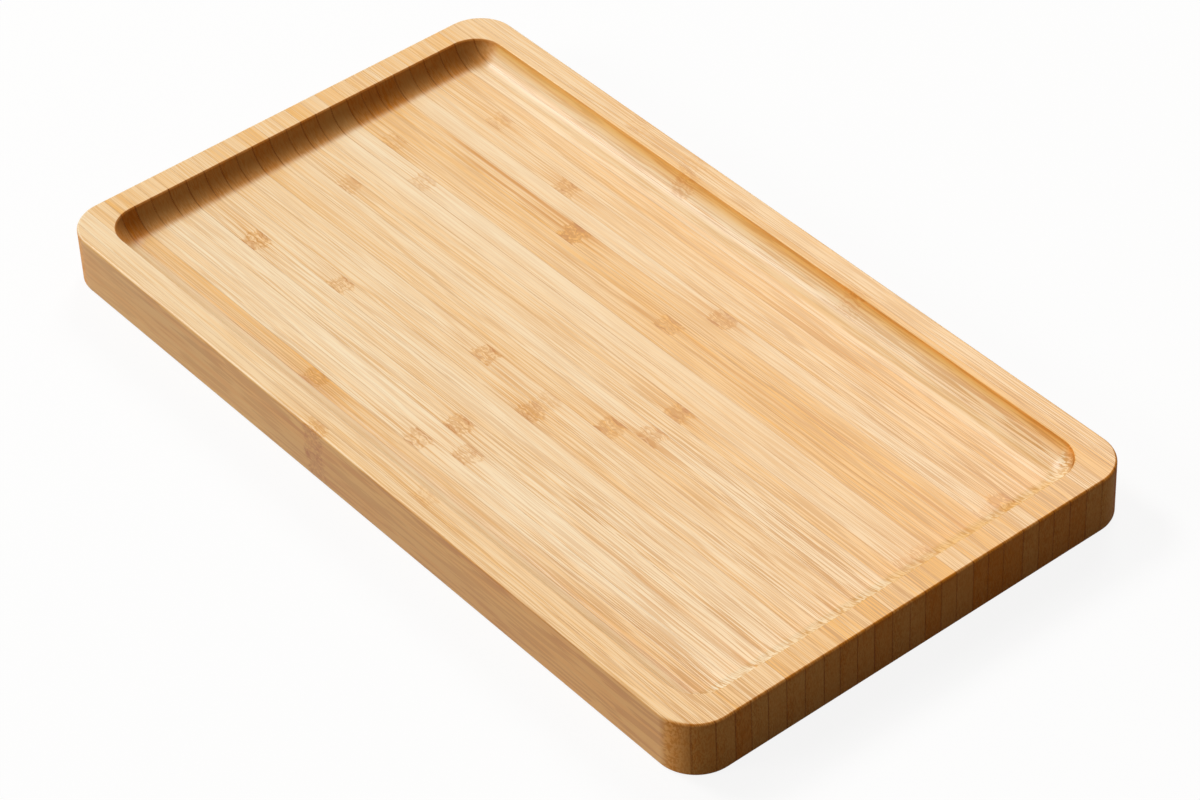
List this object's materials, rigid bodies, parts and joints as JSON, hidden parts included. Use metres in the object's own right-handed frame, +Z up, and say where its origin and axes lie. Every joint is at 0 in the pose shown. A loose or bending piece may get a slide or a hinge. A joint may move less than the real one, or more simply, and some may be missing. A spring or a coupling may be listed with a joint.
{
  "type": "serving tray",
  "caption": "Shallow rectangular tray cut from a glued board of on-edge bamboo strips, with rounded corners, a flat rim and a coved hollow for small things.",
  "frame": {"origin": "centre of the tray's underside, on the surface it stands on", "axes": "+X along the bamboo strips, which is the tray's length; +Y across the strips; +Z up out of the hollow"},
  "size_m": [0.3, 0.168, 0.0195],
  "materials": {
    "bamboo_pale": "satin, clear oiled pale bamboo with fine straight fibres",
    "bamboo_mid": "satin, clear oiled bamboo with fine straight fibres",
    "bamboo_honey": "satin, clear oiled honey-coloured bamboo with fine straight fibres"
  },
  "bodies": {
    "root": {"bamboo_strip_01": "bamboo_honey", "bamboo_strip_02": "bamboo_mid", "bamboo_strip_03": "bamboo_pale", "bamboo_strip_04": "bamboo_honey", "bamboo_strip_05": "bamboo_pale", "bamboo_strip_06": "bamboo_pale", "bamboo_strip_07": "bamboo_mid", "bamboo_strip_08": "bamboo_mid", "bamboo_strip_09": "bamboo_pale", "bamboo_strip_10": "bamboo_mid", "bamboo_strip_11": "bamboo_pale", "bamboo_strip_12": "bamboo_mid", "bamboo_strip_13": "bamboo_mid", "bamboo_strip_14": "bamboo_honey", "bamboo_strip_15": "bamboo_mid", "bamboo_strip_16": "bamboo_mid", "bamboo_strip_17": "bamboo_pale", "bamboo_strip_18": "bamboo_honey", "bamboo_strip_19": "bamboo_honey", "bamboo_strip_20": "bamboo_honey", "bamboo_strip_21": "bamboo_pale", "bamboo_strip_22": "bamboo_mid", "bamboo_strip_23": "bamboo_mid", "bamboo_strip_24": "bamboo_honey", "bamboo_strip_25": "bamboo_mid", "bamboo_strip_26": "bamboo_mid", "bamboo_strip_27": "bamboo_mid"}
  },
  "joints": []
}
